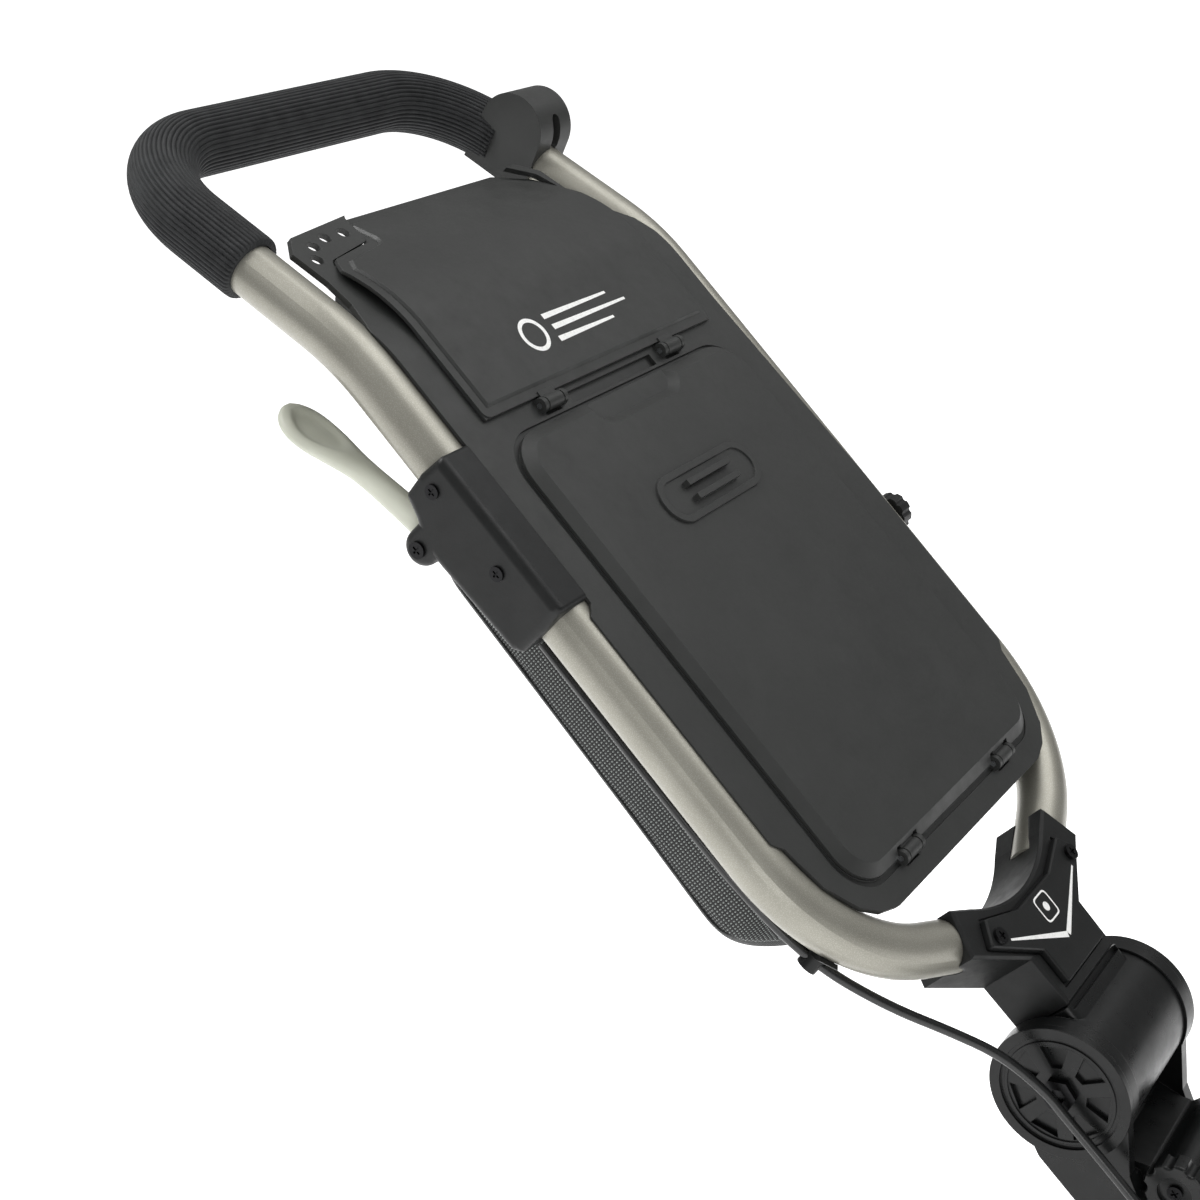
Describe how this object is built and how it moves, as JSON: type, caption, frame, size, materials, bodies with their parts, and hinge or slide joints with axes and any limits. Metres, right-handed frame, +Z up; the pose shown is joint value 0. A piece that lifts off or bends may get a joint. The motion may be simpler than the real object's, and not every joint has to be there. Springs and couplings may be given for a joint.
{
  "type": "golf push trolley",
  "caption": "Three-wheeled golf bag push trolley with a padded loop handle, a lidded console, a mesh basket, a brake lever and a folding hub.",
  "frame": {"origin": "centre of the footprint on the ground, midway between the grip's back and the front tyre's front", "axes": "+Y is the way the trolley is pushed, +Z up, +X to the right of the person who pushes it, the brake lever's side"},
  "size_m": [0.639, 1.1575, 1.0636],
  "materials": {
    "tube_silver": "satin anodised",
    "grip_foam": "fine-ribbed foam",
    "console_plastic": "fine grain, matt",
    "black_plastic": "fine grain, semi-matt",
    "lever_plastic": "smooth satin",
    "screw_black": "black oxide",
    "steel": "zinc plated",
    "bush_nylon": "plain nylon",
    "basket_mesh": "open knitted mesh",
    "basket_binding": "woven tape over a wire rim",
    "cable_jacket": "smooth cable jacket",
    "wheel_plastic": "moulded, semi-matt",
    "tyre_foam": "closed-cell foam",
    "strap_rubber": "ribbed rubber"
  },
  "bodies": {
    "frame": {"hub_clevis": "black_plastic", "hub_discs": "black_plastic", "hub_bolt": "steel", "hub_nut": "steel", "spine_tube": "tube_silver", "leg_bracket": "black_plastic", "brace_bracket": "black_plastic", "rear_leg_right": "tube_silver", "rear_leg_left": "tube_silver", "rear_braces": "tube_silver", "axle_knuckles": "black_plastic", "stub_axles": "steel", "axle_caps": "black_plastic", "spine_end_block": "black_plastic", "upper_bag_bracket": "black_plastic", "lower_bag_bracket": "black_plastic", "bag_straps": "strap_rubber", "brake_cover": "black_plastic", "brake_cable_frame": "cable_jacket", "cable_guides": "black_plastic"},
    "handle": {"handle_tube": "tube_silver", "handle_grip": "grip_foam", "yoke_bracket": "black_plastic", "yoke_cover": "black_plastic", "yoke_screws": "screw_black", "hub_barrel": "black_plastic", "hub_bushes": "bush_nylon", "console_tray": "console_plastic", "tray_screws": "screw_black", "upper_lid_pins": "steel", "lower_lid_pins": "steel", "umbrella_mount": "console_plastic", "brake_housing_outer": "black_plastic", "brake_housing_inner": "black_plastic", "housing_screws": "screw_black", "lever_pin": "steel", "lever_spring": "steel", "mesh_basket": "basket_mesh", "basket_rim": "basket_binding", "brake_cable_handle": "cable_jacket", "cable_clip": "black_plastic"},
    "upper_lid": {"upper_lid": "console_plastic"},
    "lower_lid": {"lower_lid": "console_plastic", "card_clip": "console_plastic"},
    "brake_lever": {"brake_lever": "lever_plastic"},
    "side_knob": {"side_knob": "black_plastic"},
    "fold_knob": {"fold_knob": "black_plastic", "fold_knob_screw": "screw_black"},
    "front_fork": {"front_fork": "black_plastic", "fork_bolt": "steel", "front_axle": "steel"},
    "front_wheel": {"front_rim": "wheel_plastic", "front_tyre": "tyre_foam", "front_bearings": "steel"},
    "rear_wheel_right": {"rear_right_rim": "wheel_plastic", "rear_right_tyre": "tyre_foam", "rear_right_bearings": "steel"},
    "rear_wheel_left": {"rear_left_rim": "wheel_plastic", "rear_left_tyre": "tyre_foam", "rear_left_bearings": "steel"}
  },
  "joints": [
    {"name": "handle_fold", "type": "hinge", "parent": "frame", "child": "handle", "pos_m": [0, -0.04323, 0.61295], "axis": [-1, 0, 0], "range_deg": [0, 130]},
    {"name": "upper_lid_hinge", "type": "hinge", "parent": "handle", "child": "upper_lid", "pos_m": [0, -0.34285, 0.93241], "axis": [-1, 0, 0], "range_deg": [0, 110]},
    {"name": "lower_lid_hinge", "type": "hinge", "parent": "handle", "child": "lower_lid", "pos_m": [0, -0.12929, 0.73327], "axis": [-1, 0, 0], "range_deg": [0, 75]},
    {"name": "brake_lever_pull", "type": "hinge", "parent": "handle", "child": "brake_lever", "pos_m": [0.143, -0.35541, 0.88082], "axis": [-1, 0, 0], "range_deg": [0, 11], "stiffness_Nm_per_rad": 1.5, "springref_deg": -8.59},
    {"name": "side_knob_turn", "type": "hinge", "parent": "handle", "child": "side_knob", "pos_m": [-0.155, -0.24714, 0.81951], "axis": [-1, 0, 0], "continuous": true},
    {"name": "fold_knob_turn", "type": "hinge", "parent": "frame", "child": "fold_knob", "pos_m": [0.06, 0.01878, 0.57257], "axis": [-1, 0, 0], "continuous": true},
    {"name": "front_fork_fold", "type": "hinge", "parent": "frame", "child": "front_fork", "pos_m": [0, 0.31063, 0.14704], "axis": [-1, 0, 0], "range_deg": [0, 130]},
    {"name": "front_wheel_spin", "type": "hinge", "parent": "front_fork", "child": "front_wheel", "pos_m": [0, 0.46377, 0.115], "axis": [-1, 0, 0], "continuous": true},
    {"name": "rear_wheel_right_spin", "type": "hinge", "parent": "frame", "child": "rear_wheel_right", "pos_m": [0.285, -0.12323, 0.125], "axis": [-1, 0, 0], "continuous": true},
    {"name": "rear_wheel_left_spin", "type": "hinge", "parent": "frame", "child": "rear_wheel_left", "pos_m": [-0.285, -0.12323, 0.125], "axis": [-1, 0, 0], "continuous": true}
  ]
}
